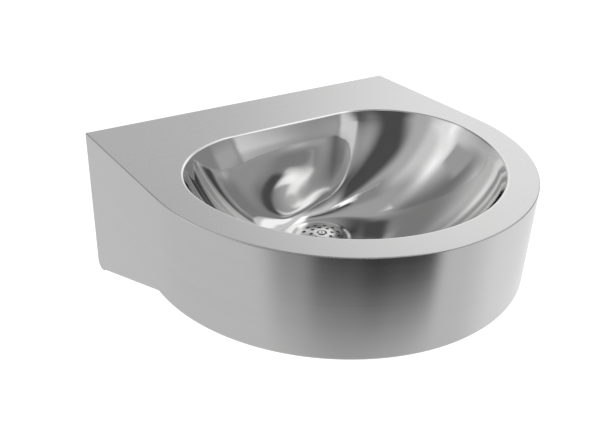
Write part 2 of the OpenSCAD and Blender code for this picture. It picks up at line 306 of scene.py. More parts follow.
def combine(mesh, tool, operation="DIFFERENCE"):
    """One closed mesh out of two."""
    body = bpy.data.objects.new("body", mesh)
    other = bpy.data.objects.new("other", tool)
    for item in (body, other):
        bpy.context.scene.collection.objects.link(item)
    modifier = body.modifiers.new("combine", "BOOLEAN")
    modifier.operation = operation
    modifier.solver = "EXACT"
    modifier.object = other
    depsgraph = bpy.context.evaluated_depsgraph_get()
    done = bpy.data.meshes.new_from_object(body.evaluated_get(depsgraph))
    for item in (body, other):
        bpy.data.objects.remove(item)
    return done


def bevelled(piece, width):
    """Small rounded edges wherever two faces meet at an angle."""
    modifier = piece.modifiers.new("edges", "BEVEL")
    modifier.width = width
    modifier.segments = BEVEL_SEGMENTS
    modifier.limit_method = "ANGLE"
    modifier.angle_limit = BEVEL_ANGLE
    modifier.use_clamp_overlap = True
    return weighted(piece)


def weighted(piece):
    """Normals that follow the larger faces, so that flat sheet shades flat."""
    modifier = piece.modifiers.new("normals", "WEIGHTED_NORMAL")
    modifier.keep_sharp = True
    return piece


# Bowl: the same section as the construction, in finer steps

AROUND = 384
LIP_STEPS = 10
CURVE_STEPS = 72


def hit_circle(cos_a, sin_a, x, y, r):
    """Distance from the drain to a circle in plan, along a direction."""
    dy = y - DRAIN_Y
    b = x * cos_a + dy * sin_a
    return b + math.sqrt(b * b - (x * x + dy * dy - r * r))


def opening_at(angle, inset):
    """Distance from the drain to the opening drawn in by inset, along a direction in plan."""
    cos_a, sin_a = abs(math.cos(angle)), math.sin(angle)
    if sin_a > 0:
        flat = (-LEDGE - inset - DRAIN_Y) / sin_a
        if flat * cos_a <= CORNER_X:
            return flat
    t = hit_circle(cos_a, sin_a, CORNER_X, CORNER_Y, CORNER_R - inset)
    at = math.atan2(DRAIN_Y + t * sin_a - CORNER_Y, t * cos_a - CORNER_X)
    if at >= CORNER_ANGLE:
        return t
    return hit_circle(cos_a, sin_a, 0, OPEN_Y, OPEN_R - inset)


def ring_angles():
    return [math.pi / 2 + 2 * math.pi * i / AROUND for i in range(AROUND)]


def plan_ring(distances, z):
    """A ring about the drain from its distance in each direction."""
    return [(t * math.cos(a), DRAIN_Y + t * math.sin(a), z)
            for a, t in zip(ring_angles(), distances)]


def lip_ring(radius, share):
    """A ring of the rolled lip, from its top at share 0 to the start of the wall at 1."""
    turn = (math.pi / 2 - DRAFT) * share
    inset = radius * math.sin(turn)
    z = DECK_Z - LIP_R + radius * math.cos(turn)
    return plan_ring([opening_at(a, inset) for a in ring_angles()], z)


def curve_ring(u, out):
    """A ring of the wall and floor, from the top at u 0 to the floor at 1, out from the inner face."""
    run = WALL_D - LIP_R * (1 - math.sin(DRAFT))
    foot_s = (LIP_R - out) * math.cos(DRAFT) + run * math.tan(DRAFT)
    foot_z = DECK_Z - LIP_R + (LIP_R - out) * math.sin(DRAFT) - run
    flat_z = DECK_Z - DEPTH - out
    w = [(1 - u) ** 3, 3 * u * (1 - u) ** 2, 3 * u * u * (1 - u), u ** 3]
    z = w[0] * foot_z + w[1] * (foot_z - PULL_D) + (w[2] + w[3]) * flat_z
    distances = []
    for a in ring_angles():
        foot = opening_at(a, foot_s)
        pulled = opening_at(a, foot_s + PULL_D * math.tan(DRAFT))
        level = FLOOR_R + FLOOR_SHARE * (foot - FLOOR_R)
        distances.append(w[0] * foot + w[1] * pulled + w[2] * level + w[3] * FLOOR_R)
    return plan_ring(distances, z)


def round_ring(radius, z):
    return plan_ring([radius] * AROUND, z)


def curve_shares():
    return [k / CURVE_STEPS for k in range(CURVE_STEPS + 1)]


def bowl_piece(material):
    shares = curve_shares()
    lip_shares = [k / LIP_STEPS for k in range(LIP_STEPS + 1)]
    flat_z = DECK_Z - DEPTH
    bend, half, third, tenth = (RECESS_BEND / n for n in (1, 2, 3, 10))
    rings = [lip_ring(LIP_R, s) for s in lip_shares]
    rings += [curve_ring(u, 0) for u in shares]
    top = RECESS_R + RECESS_SLOPE
    rings += [round_ring(top + bend, flat_z), round_ring(top + third, flat_z - tenth),
              round_ring(top - third, flat_z - half), round_ring(RECESS_R + third, SEAT_Z + half),
              round_ring(RECESS_R - third, SEAT_Z + tenth), round_ring(RECESS_R - bend, SEAT_Z),
              round_ring(HOLE_R, SEAT_Z), round_ring(HOLE_R, SEAT_Z - BOWL_T),
              round_ring(RECESS_R + BOWL_T, SEAT_Z - BOWL_T),
              round_ring(top + BOWL_T, flat_z - BOWL_T)]
    rings += [curve_ring(u, BOWL_T) for u in reversed(shares)]
    rings += [lip_ring(LIP_R - BOWL_T, s) for s in reversed(lip_shares)]
    mesh = mesh_of("bowl_shell", *loft(rings))
    return add_piece("bowl_shell", mesh, material, "basin", "bowl")


# Deck: a flat plate with a rounded outer edge and the opening cut out

ROUND_STEPS = 96


def outline(inset):
    """The basin's plan outline drawn in by inset, from the left rear corner round the front."""
    r = HALF - inset
    points = [(-r, 0)]
    for k in range(ROUND_STEPS + 1):
        a = math.pi + math.pi * k / ROUND_STEPS
        points.append((r * math.cos(a), OUTER_Y + r * math.sin(a)))
    points.append((r, 0))
    return points


def deck_piece(material):
    hole = [(t * math.cos(a), DRAIN_Y + t * math.sin(a))
            for a in ring_angles() for t in [opening_at(a, 0)]]
    levels = []
    for k in range(BEND_STEPS + 1):
        q = math.pi / 2 * k / BEND_STEPS
        levels.append((EDGE_R * (1 - math.sin(q)), DECK_Z - EDGE_R * (1 - math.cos(q))))
    levels.append((0, UNDER_DECK))
    work = bmesh.new()

    def loop(points, z):
        return [work.verts.new((x, y, z)) for x, y in points]

    def wall(upper, lower):
        for i in range(len(upper)):
            j = (i + 1) % len(upper)
            work.faces.new((upper[i], upper[j], lower[j], lower[i]))

    def sheet(outer, inner):
        edges = []
        for ring in (outer, inner):
            for i in range(len(ring)):
                pair = (ring[i], ring[(i + 1) % len(ring)])
                edges.append(work.edges.get(pair) or work.edges.new(pair))
        bmesh.ops.triangle_fill(work, edges=edges, use_beauty=True)

    rings = [loop(outline(inset), z) for inset, z in levels]
    for upper, lower in zip(rings, rings[1:]):
        wall(upper, lower)
    inner_top, inner_low = loop(hole, DECK_Z), loop(hole, UNDER_DECK)
    wall(inner_top, inner_low)
    sheet(rings[0], inner_top)
    sheet(rings[-1], inner_low)
    bmesh.ops.recalc_face_normals(work, faces=work.faces)
    mesh = bpy.data.meshes.new("deck_plate")
    work.to_mesh(mesh)
    work.free()
    piece = add_piece("deck_plate", mesh, material, "basin", "deck")
    return weighted(piece)


# Apron: a band that follows the outline, with its lower edge folded inwards

SIDE_STEPS = 24
LEVEL_STEPS = 4
HEEL_STEPS = 12


def low_edge(y):
    """Height of the lower edge at a distance -y from the wall, before the heel is rounded."""
    slope = (REAR_H - FRONT_H) / BEND_Y
    return DECK_Z - (FRONT_H if -y > BEND_Y else REAR_H + slope * y)


def band_section(low):
    """Section of the band as (inset, z): skin, fold and the return, anticlockwise."""
    inner_r = FOLD_R - SHEET
    outside = arc((FOLD_R, low + FOLD_R), FOLD_R, 180, 270, BEND_STEPS)
    inside = arc((FOLD_R, low + FOLD_R), inner_r, 270, 180, BEND_STEPS)
    return ([(0, UNDER_DECK)] + outside + [(RETURN_W, low), (RETURN_W, low + SHEET)]
            + inside + [(SHEET, UNDER_DECK)])


def band_stations():
    """Places along the outline, as a point on it and the direction inwards."""
    sides = [RETURN_END + (BEND_Y - RETURN_END) * k / SIDE_STEPS for k in range(SIDE_STEPS)]
    sides += [BEND_Y + (-OUTER_Y - BEND_Y) * k / LEVEL_STEPS for k in range(LEVEL_STEPS)]
    left = [((-HALF, -d), (1, 0)) for d in sides]
    front = []
    for k in range(ROUND_STEPS + 1):
        a = math.pi + math.pi * k / ROUND_STEPS
        x, y = math.cos(a), math.sin(a)
        front.append(((HALF * x, OUTER_Y + HALF * y), (-x, -y)))
    right = [((HALF, -d), (-1, 0)) for d in reversed(sides)]
    return left + front + right


def heel(side):
    """The plain rear end of a side panel, with its lower corner rounded."""
    slope_angle = math.degrees(math.atan((REAR_H - FRONT_H) / BEND_Y))
    rise = HEEL_R / math.tan(math.radians((90 - slope_angle) / 2))
    centre = (-HEEL_R, DECK_Z - REAR_H + rise)
    profile = ([(0, UNDER_DECK)] + arc(centre, HEEL_R, 0, -90 - slope_angle, HEEL_STEPS)
               + [(-RETURN_END, low_edge(-RETURN_END)), (-RETURN_END, UNDER_DECK)])
    rings = [[(side * x, y, z) for y, z in profile] for x in (HALF, HALF - SHEET)]
    return loft(rings, loop=False)


def apron_piece(material):
    rings = []
    for (x, y), (dx, dy) in band_stations():
        section = band_section(low_edge(y))
        rings.append([(x + dx * s, y + dy * s, z) for s, z in section])
    mesh = mesh_of("apron_band", *join(loft(rings, loop=False), heel(-1), heel(1)))
    piece = add_piece("apron_band", mesh, material, "basin", "apron")
    return weighted(piece)


# Rail, brackets, channel and pads

PAD_RING_STEPS = 18
PAD_RING_EDGE = 0.5 * MM
PAD_RING_TURN = 0.004


def rail_piece(material):
    low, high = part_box("rear_rail")
    section = angle_profile(-low.y, high.z - low.z, RAIL_T, BEND_R)
    profile = [(y, high.z + z) for y, z in section]
    mesh = mesh_of("wall_rail", *along_x(profile, low.x, high.x))
    piece = add_piece("wall_rail", mesh, material, "basin", "rear_rail")
    return bevelled(piece, EDGE_W)


def bracket_piece(name, node, side, material):
    low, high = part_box("right_wall_bracket")
    section = angle_profile(high.x - low.x, high.y - low.y, BRACKET_T, BEND_R)
    plan = [(side * (high.x + x), high.y + y) for x, y in section]
    mesh = mesh_of(name, *prism(plan, low.z, high.z))
    holes = [along_y(circle(side * FIX_X, z, FIX_R), -2 * BRACKET_T, BRACKET_T)
             for z in (-FIX_Z, FIX_Z)]
    mesh = combine(mesh, mesh_of("holes", *join(*holes)))
    piece = add_piece(name, mesh, material, "basin", node)
    return bevelled(piece, EDGE_W)


def channel_piece(material):
    low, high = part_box("ledge_channel")
    bend = 2 * SHEET
    left, right = (low.y + bend, low.z + bend), (high.y - bend, low.z + bend)
    profile = ([(low.y, high.z)] + arc(left, bend, 180, 270, BEND_STEPS)
               + arc(right, bend, 270, 360, BEND_STEPS)
               + [(high.y, high.z), (high.y - SHEET, high.z)]
               + arc(right, bend - SHEET, 360, 270, BEND_STEPS)
               + arc(left, bend - SHEET, 270, 180, BEND_STEPS) + [(low.y + SHEET, high.z)])
    mesh = mesh_of("stiffening_channel", *along_x(profile, low.x, high.x))
    piece = add_piece("stiffening_channel", mesh, material, "basin",
                      "ledge_channel")
    return bevelled(piece, EDGE_W)


def ledge_pads_piece(material):
    low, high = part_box("ledge_pads")
    width = high.y - low.y + PAD_EXTRA_W
    edge = PAD_EDGE_R
    levels = [(edge, low.z), (edge / 3, low.z + edge / 3), (0, low.z + edge), (0, high.z)]
    pads = []
    for x0, x1 in ((low.x, low.x + width), (high.x - width, high.x)):
        rings = []
        for inset, z in levels:
            plan = round_rectangle(x0 + inset, x1 - inset, low.y + inset, high.y - inset, PAD_CORNER_R)
            rings.append([(x, y, z) for x, y in plan])
        pads.append(loft(rings, loop=False))
    mesh = mesh_of("deck_pads", *join(*pads))
    return add_piece("deck_pads", mesh, material, "basin", "ledge_pads")


def bowl_pad_piece(material):
    near, far = BOWL_T + GLUE_T, BOWL_T + GLUE_T + PAD_T
    edge, turn = PAD_RING_EDGE, PAD_RING_TURN
    shares = [PAD_FIRST + turn + (PAD_LAST - PAD_FIRST - 2 * turn) * k / PAD_RING_STEPS
              for k in range(PAD_RING_STEPS + 1)]
    rings = [curve_ring(u, near) for u in shares]
    rings += [curve_ring(PAD_LAST, near + edge), curve_ring(PAD_LAST, far - edge)]
    rings += [curve_ring(u, far) for u in reversed(shares)]
    rings += [curve_ring(PAD_FIRST, far - edge), curve_ring(PAD_FIRST, near + edge)]
    mesh = mesh_of("bowl_damping_ring", *loft(rings))
    return add_piece("bowl_damping_ring", mesh, material, "basin", "bowl_pad")


# Earth bonding point

TAG_STEPS = 32
TAG_CORNER_STEPS = 2
SHANK_STEPS = 40
WASHER_STEPS = 48
BOLT_ROOT = 0.82
TIP_SHARE = 0.6


def on_bolt(part, start):
    """A part made along Z, laid along the earth bolt from a place on it towards the room."""
    points, faces = part
    tag_low, tag_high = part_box("earth_tag")
    centre = (tag_low.x + tag_high.x) / 2
    level = tag_low.z + (tag_high.x - tag_low.x) / 2
    return [(centre + x, start - z, level + y) for x, y, z in points], faces


def tag_piece(material):
    low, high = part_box("earth_tag")
    r = (high.x - low.x) / 2
    centre = (low.x + r, low.z + r)
    shape = (arc(centre, r, 180, 360, TAG_STEPS)
             + arc((high.x - EDGE_W, high.z - EDGE_W), EDGE_W, 0, 90, TAG_CORNER_STEPS)
             + arc((low.x + EDGE_W, high.z - EDGE_W), EDGE_W, 90, 180, TAG_CORNER_STEPS))
    mesh = mesh_of("bonding_tag", *along_y(shape, low.y, high.y))
    hole = along_y(circle(*centre, BOLT_R + FIT), low.y - RAIL_T, high.y + RAIL_T)
    mesh = combine(mesh, mesh_of("hole", *hole))
    piece = add_piece("bonding_tag", mesh, material, "basin", "earth_tag")
    return bevelled(piece, EDGE_W / 2)


def bolt_piece(material):
    low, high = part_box("earth_bolt")
    length = high.y - low.y
    root = BOLT_R * BOLT_ROOT
    shank = threaded([(0, -HEAD_H + EDGE_W), (root, -HEAD_H + EDGE_W)],
                     [(BOLT_R * TIP_SHARE, -length), (0, -length)],
                     root, BOLT_R, -HEAD_H, -length + EDGE_W, M6_PITCH, SHANK_STEPS)
    head = prism(hexagon(HEX_R), -HEAD_H, 0)
    mesh = combine(mesh_of("bonding_bolt", *head), mesh_of("shank", *shank), "UNION")
    points = [(x, y, -z) for x, y, z in (vertex.co for vertex in mesh.vertices)]
    faces = [tuple(polygon.vertices) for polygon in mesh.polygons]
    mesh = mesh_of("bonding_bolt", *on_bolt((points, faces), high.y))
    piece = add_piece("bonding_bolt", mesh, material, "basin", "earth_bolt")
    return weighted(piece)


def nut_piece(material):
    low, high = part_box("earth_nut")
    length = high.y - low.y
    mesh = mesh_of("bonding_nut", *on_bolt(prism(hexagon(HEX_R), 0, length), high.y))
    bore = on_bolt(prism(circle(0, 0, BOLT_R + FIT), -RAIL_T, length + RAIL_T), high.y)
    mesh = combine(mesh, mesh_of("bore", *bore))
    piece = add_piece("bonding_nut", mesh, material, "basin", "earth_nut")
    return bevelled(piece, EDGE_W)


def earth_washers_piece(material):
    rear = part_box("earth_washers")[1].y
    tag_low, tag_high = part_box("earth_tag")
    profile = round_box(BOLT_R + FIT, 2 * BOLT_R, 0, rear - tag_high.y, EDGE_W / 2)
    ring = lathe(profile, 0, WASHER_STEPS)
    both = join(on_bolt(ring, rear), on_bolt(ring, tag_low.y))
    mesh = mesh_of("bonding_washers", *both)
    return add_piece("bonding_washers", mesh, material, "basin", "earth_washers")


# Waste: seals, body, insert, sieve, washer and screw

RING_STEPS = 120
HUB_STEPS = 64
SIEVE_STEPS = 180
SIEVE_HOLE_SIDES = 36
BLEND_STEPS = 4
DOME_STEPS = 16
UNDER_STEPS = 14
SCREW_STEPS = 48
FINE_STEPS = 6
SMALL_EDGE = 0.2 * MM
UPPER_SEAL_EDGE = 0.4 * MM
LOWER_SEAL_EDGE = 0.8 * MM
INSERT_EDGE = 0.3 * MM
BORE_GAP = 0.3 * MM
WASHER_GAP = 0.15 * MM
CROWN_R = 1 * MM
TIP_H = 0.5 * MM
SCREW_NECK = 0.85
SCREW_ROOT = 0.83
SCREW_CREST = 0.985


def ring_piece(name, node, inner, outer, edge, material, body):
    low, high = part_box(node)
    mesh = mesh_of(name, *lathe(round_box(inner, outer, low.z, high.z, edge), DRAIN_Y, RING_STEPS))
    return add_piece(name, mesh, material, body, node)


def body_piece(material):
    low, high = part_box("waste_body")
    inner, outer = HOLE_R - SIEVE_T, high.x
    cup_out = inner + BODY_WALL
    cone_top, tail_top = -BODY_CUP_H, -BODY_CUP_H - BODY_CONE_H
    tail_end = low.z - high.z
    edge = BODY_EDGE
    thread_top, thread_low = tail_top - 3 * edge, tail_end + 2 * edge
    root = TAIL_R - TAIL_THREAD_D
    upper = ([(inner, cone_top - edge), (inner, -edge), (inner + edge, 0)]
             + arc((outer - edge, -edge), edge, 90, 0, EDGE_STEPS)
             + arc((outer - edge, edge - BODY_FLANGE_H), edge, 0, -90, EDGE_STEPS)
             + arc((cup_out + 2 * edge, -BODY_FLANGE_H - 2 * edge), 2 * edge, 90, 180, EDGE_STEPS + 1)
             + [(cup_out, cone_top), (TAIL_R, tail_top), (TAIL_R, tail_top - edge)])
    lower = [(root - edge, tail_end), (TAIL_R - BODY_WALL, tail_end),
             (TAIL_R - BODY_WALL, tail_top - edge)]
    shell = threaded(upper, lower, root, TAIL_R, thread_top, thread_low, TAIL_PITCH, RING_STEPS)
    hub = lathe(round_box(INSERT_R, HUB_R, -HUB_H, 0, edge), 0, HUB_STEPS)
    # The arms end inside the walls of the hub and of the cup
    start, end = INSERT_R + BODY_WALL / 3, inner + BODY_WALL / 2
    arms = []
    for k in range(ARMS):
        c, s = math.cos(2 * math.pi * k / ARMS), math.sin(2 * math.pi * k / ARMS)
        corners = [(start, -1), (end, -1), (end, 1), (start, 1)]
        plan = [(r * c - side * ARM_W / 2 * s, r * s + side * ARM_W / 2 * c) for r, side in corners]
        arms.append(prism(plan, edge - HUB_H, -BODY_FLANGE_H))
    bridge = combine(mesh_of("hub", *hub), mesh_of("arms", *join(*arms)), "UNION")
    mesh = combine(mesh_of("waste_lower_part", *shell), bridge, "UNION")
    mesh.transform(Matrix.Translation((0, DRAIN_Y, high.z)))
    piece = add_piece("waste_lower_part", mesh, material, "basin", "waste_body")
    return weighted(piece)


def sieve_profile(low_z):
    """Section of the pressed sieve: round edge, dome, sunk cup for the screw, then the underside."""
    ball = (DOME_R ** 2 + DOME_H ** 2) / (2 * DOME_H)
    under = ball - SIEVE_T
    flange_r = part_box("sieve")[1].x
    flat = low_z + SIEVE_T
    top = flat + DOME_H
    cup_floor = top - CUP_D
    lip, fillet, half = CUP_LIP_R, CUP_FILLET_R, SIEVE_T / 2

    def dome(r, radius):
        return top - ball + math.sqrt(radius * radius - r * r)

    points = arc((flange_r - half, low_z + half), half, -90, 90, FINE_STEPS)
    out, into = DOME_R + DOME_BLEND, DOME_R - DOME_BLEND
    for k in range(BLEND_STEPS + 1):
        t = k / BLEND_STEPS
        points.append(((1 - t) ** 2 * out + 2 * t * (1 - t) * DOME_R + t * t * into,
                       ((1 - t) ** 2 + 2 * t * (1 - t)) * flat + t * t * dome(into, ball)))
    start = CUP_R + lip
    for k in range(1, DOME_STEPS):
        r = into + (start - into) * k / DOME_STEPS
        points.append((r, dome(r, ball)))
    points += arc((start, dome(start, ball) - lip), lip, 90, 180, FINE_STEPS)
    points += arc((CUP_R - fillet, cup_floor + fillet), fillet, 0, -90, BLEND_STEPS)
    bore, wall = SCREW_R + BORE_GAP, CUP_R + SIEVE_T
    points += [(bore, cup_floor), (bore, cup_floor - SIEVE_T)]
    points += arc((wall - fillet, cup_floor - SIEVE_T + fillet), fillet, -90, 0, BLEND_STEPS)
    points.append((wall, dome(wall, under) - fillet))
    start, end = wall + fillet, DOME_R - SIEVE_T
    for k in range(UNDER_STEPS + 1):
        r = start + (end - start) * k / UNDER_STEPS
        points.append((r, max(dome(r, under), low_z)))
    return points


def sieve_piece(material):
    low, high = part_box("sieve")
    mesh = mesh_of("domed_sieve", *lathe(sieve_profile(low.z), DRAIN_Y, SIEVE_STEPS))
    wall = CUP_R + SIEVE_T
    holes = []
    for share, count in ((INNER_SHARE, INNER_HOLES), (OUTER_SHARE, OUTER_HOLES)):
        r = wall + share * (DOME_R - wall)
        for k in range(count):
            a = 2 * math.pi * (k + 0.5) / count
            x, y = r * math.cos(a), DRAIN_Y + r * math.sin(a)
            plan = circle(x, y, SIEVE_HOLE_R, SIEVE_HOLE_SIDES)
            holes.append(prism(plan, low.z - SIEVE_T, high.z + SIEVE_T))
    mesh = combine(mesh, mesh_of("holes", *join(*holes)))
    piece = add_piece("domed_sieve", mesh, material, "sieve", "sieve")
    return bevelled(piece, SMALL_EDGE)


def screw_piece(material):
    low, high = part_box("waste_screw")
    head_z, tip = high.z - SCREW_HEAD_H, low.z
    crown, edge = CROWN_R, SMALL_EDGE
    upper = ([(0, high.z)] + arc((HEAD_R - crown, high.z - crown), crown, 90, 0, FINE_STEPS)
             + [(HEAD_R, head_z + edge), (HEAD_R - edge, head_z), (SCREW_R * SCREW_NECK, head_z)])
    lower = [(SCREW_R * TIP_SHARE, tip), (0, tip)]
    shape = threaded(upper, lower, SCREW_R * SCREW_ROOT, SCREW_R * SCREW_CREST, head_z - edge,
                     tip + TIP_H, M6_PITCH, SCREW_STEPS)
    mesh = mesh_of("centre_screw", *shape)
    socket = prism(hexagon(SOCKET_R), high.z - SOCKET_D, high.z + SOCKET_D)
    mesh = combine(mesh, mesh_of("socket", *socket))
    mesh.transform(Matrix.Translation((0, DRAIN_Y, 0)))
    piece = add_piece("centre_screw", mesh, material, "waste_screw", "waste_screw")
    return weighted(piece)


# Finishes

# Noise lies between these for most of its area
NOISE_LOW = 0.3
NOISE_HIGH = 0.7
GLOSS_SPREAD = 0.05


class Finish:
    """A procedural material: a fine grain and a broad mottle set its colour, gloss and relief."""

    def __init__(self, name, metallic):
        self.material = bpy.data.materials.new(name)
        self.material.use_nodes = True
        self.tree = self.material.node_tree
        self.shader = self.tree.nodes["Principled BSDF"]
        self.shader.inputs["Metallic"].default_value = metallic
        self.place = self.tree.nodes.new("ShaderNodeTexCoord").outputs["Object"]

    def noise(self, stretch, detail=3, rough=0.55):
        """Noise with so many lumps a metre along X, Y and Z."""
        mapping = self.tree.nodes.new("ShaderNodeMapping")
        mapping.inputs["Scale"].default_value = stretch
        self.tree.links.new(self.place, mapping.inputs["Vector"])
        node = self.tree.nodes.new("ShaderNodeTexNoise")
        node.inputs["Scale"].default_value = 1
        node.inputs["Detail"].default_value = detail
        node.inputs["Roughness"].default_value = rough
        self.tree.links.new(mapping.outputs["Vector"], node.inputs["Vector"])
        return node.outputs["Fac"]

    def cells(self, scale):
        """Round cells, so many a metre."""
        node = self.tree.nodes.new("ShaderNodeTexVoronoi")
        node.inputs["Scale"].default_value = scale
        self.tree.links.new(self.place, node.inputs["Vector"])
        return node.outputs["Distance"]

    def span(self, value, low, high):
        """The usual spread of noise carried to low to high."""
        node = self.tree.nodes.new("ShaderNodeMapRange")
        node.inputs["From Min"].default_value = NOISE_LOW
        node.inputs["From Max"].default_value = NOISE_HIGH
        node.inputs["To Min"].default_value = low
        node.inputs["To Max"].default_value = high
        self.tree.links.new(value, node.inputs["Value"])
        return node.outputs["Result"]

    def blend(self, first, second, share):
        """Two values mixed, with the share of the second."""
        node = self.tree.nodes.new("ShaderNodeMix")
        node.data_type = "FLOAT"
        node.inputs["Factor"].default_value = share
        self.tree.links.new(first, node.inputs["A"])
        self.tree.links.new(second, node.inputs["B"])
        return node.outputs["Result"]

    def colour(self, value, dark, light):
        ramp = self.tree.nodes.new("ShaderNodeValToRGB")
        ramp.color_ramp.elements[0].position = NOISE_LOW
        ramp.color_ramp.elements[0].color = (*dark, 1)
        ramp.color_ramp.elements[1].position = NOISE_HIGH
        ramp.color_ramp.elements[1].color = (*light, 1)
        self.tree.links.new(value, ramp.inputs["Fac"])
        self.tree.links.new(ramp.outputs["Color"], self.shader.inputs["Base Color"])

    def gloss(self, value, low, high):
        self.tree.links.new(self.span(value, low, high), self.shader.inputs["Roughness"])

    def relief(self, *layers):
        """Bumps on each other, each a value and the height in metres that it spans."""
        normal = None
        for value, height in layers:
            node = self.tree.nodes.new("ShaderNodeBump")
            node.inputs["Distance"].default_value = height
            self.tree.links.new(value, node.inputs["Height"])
            if normal:
                self.tree.links.new(normal, node.inputs["Normal"])
            normal = node.outputs["Normal"]
        self.tree.links.new(normal, self.shader.inputs["Normal"])
        return self.material


def grey(level, warm=0.0):
    """A grey with a little more red than blue."""
    return (level * (1 + warm), level, level * (1 - warm))


def brushed(name, grain, bands, gloss, relief):
    """Satin steel with fine straight scratches."""
    finish = Finish(name, metallic=1)
    fine = finish.noise(grain, detail=2)
    broad = finish.noise(bands)
    mixed = finish.blend(fine, broad, share=0.55)
    finish.colour(mixed, dark=grey(0.650, warm=0.002), light=grey(0.680, warm=0.002))
    finish.gloss(mixed, low=gloss, high=gloss + GLOSS_SPREAD)
    return finish.relief((fine, relief))


def polished():
    """Mirror-polished sheet, a little wavy, with faint wipe marks."""
    finish = Finish("polished_bowl", metallic=1)
    wipes = finish.noise((30, 55, 40), detail=5, rough=0.6)
    waves = finish.noise((9, 11, 10), detail=1)
    finish.colour(wipes, dark=grey(0.79, warm=0.002), light=grey(0.82, warm=0.002))
    finish.gloss(wipes, low=0.035, high=0.08)
    return finish.relief((waves, 0.4 * MM))


def mill():
    """Plain rolled sheet behind the basin."""
    finish = Finish("mill_sheet", metallic=1)
    rolled = finish.noise((14, 14, 260), detail=4)
    mottle = finish.noise((70, 70, 70), detail=5, rough=0.65)
    mixed = finish.blend(rolled, mottle, share=0.6)
    finish.colour(mixed, dark=grey(0.46, warm=0.004), light=grey(0.58, warm=0.002))
    finish.gloss(mixed, low=0.34, high=0.50)
    return finish.relief((mottle, 0.03 * MM))


def pressed():
    """Thin bright sheet of the sieve."""
    finish = Finish("pressed_sieve", metallic=1)
    wipes = finish.noise((160, 160, 160), detail=4, rough=0.6)
    finish.colour(wipes, dark=grey(0.66, warm=0.002), light=grey(0.76, warm=0.002))
    finish.gloss(wipes, low=0.12, high=0.20)
    return finish.relief((wipes, 0.02 * MM))


def screw_steel():
    """Turned steel of the screw and its washer."""
    finish = Finish("turned_steel", metallic=1)
    marks = finish.noise((900, 900, 2600), detail=2)
    finish.colour(marks, dark=grey(0.72), light=grey(0.82))
    finish.gloss(marks, low=0.08, high=0.18)
    return finish.relief((marks, 0.01 * MM))


def rubber():
    """Black rubber with a dull bloom."""
    finish = Finish("seal_rubber", metallic=0)
    bloom = finish.noise((240, 240, 240), detail=4)
    finish.colour(bloom, dark=grey(0.018), light=grey(0.034))
    finish.gloss(bloom, low=0.46, high=0.66)
    return finish.relief((bloom, 0.05 * MM))


def damping_pad():
    """Bitumen-like sheet with a dimpled face."""
    finish = Finish("damping_pad", metallic=0)
    dimples = finish.cells(330)
    dust = finish.noise((190, 190, 190), detail=5, rough=0.65)
    finish.colour(dust, dark=grey(0.055, warm=0.01), light=grey(0.11, warm=0.01))
    finish.gloss(dust, low=0.62, high=0.86)
    return finish.relief((dust, 0.15 * MM), (dimples, 0.4 * MM))


def plastic():
    """Moulded white plastic."""
    finish = Finish("moulded_plastic", metallic=0)
    cloud = finish.noise((60, 60, 60))
    skin = finish.noise((1500, 1500, 1500), detail=2)
    finish.colour(cloud, dark=grey(0.74, warm=0.01), light=grey(0.79, warm=0.01))
    finish.gloss(cloud, low=0.30, high=0.42)
    return finish.relief((skin, 0.01 * MM))


def brass():
    """Turned brass, a little tarnished."""
    finish = Finish("turned_brass", metallic=1)
    tarnish = finish.noise((220, 220, 220), detail=4, rough=0.6)
    marks = finish.noise((1200, 1200, 2600), detail=2)
    finish.colour(tarnish, dark=(0.56, 0.40, 0.19), light=(0.74, 0.56, 0.29))
    finish.gloss(tarnish, low=0.22, high=0.40)
    return finish.relief((marks, 0.01 * MM))


# Pieces

deck_finish = brushed("brushed_deck", grain=(3, 1500, 1500), bands=(2, 70, 2), gloss=0.24,
                      relief=0.010 * MM)
apron_finish = brushed("brushed_apron", grain=(2, 2, 1500), bands=(2, 2, 60), gloss=0.11,
                       relief=0.006 * MM)
mill_finish, seal_finish, pad_finish, brass_finish = mill(), rubber(), damping_pad(), brass()
screw_finish = screw_steel()

bowl_piece(polished())
deck_piece(deck_finish)
apron_piece(apron_finish)
rail_piece(mill_finish)
bracket_piece("left_angle_bracket", "left_wall_bracket", -1, mill_finish)
bracket_piece("right_angle_bracket", "right_wall_bracket", 1, mill_finish)
channel_piece(mill_finish)
ledge_pads_piece(pad_finish)
bowl_pad_piece(pad_finish)
tag_piece(mill_finish)
bolt_piece(brass_finish)
nut_piece(brass_finish)
earth_washers_piece(brass_finish)
ring_piece("sieve_seal", "upper_seal", HOLE_R + SEAL_GAP, SEAL_R, UPPER_SEAL_EDGE, seal_finish,
           "basin")
ring_piece("body_seal", "lower_seal", HOLE_R + SEAL_GAP, BODY_R, LOWER_SEAL_EDGE, seal_finish,
           "basin")
body_piece(plastic())
ring_piece("brass_insert", "screw_insert", SCREW_R + FIT, INSERT_R, INSERT_EDGE, brass_finish,
           "basin")
sieve_piece(pressed())
ring_piece("flat_washer", "screw_washer", SCREW_R + WASHER_GAP, CUP_R - BORE_GAP, SMALL_EDGE,
           screw_finish, "screw_washer")
screw_piece(screw_finish)


# Camera, fitted to the photo's straight rear edge, round front and lower edges

CAMERA_AT = (-0.5007, -0.8314, 0.4550)
CAMERA_AZIMUTH = 35.41
CAMERA_ELEVATION = -28.57
CAMERA_ROLL = 2.39
CAMERA_LENS = 46.15
SENSOR_W = 36


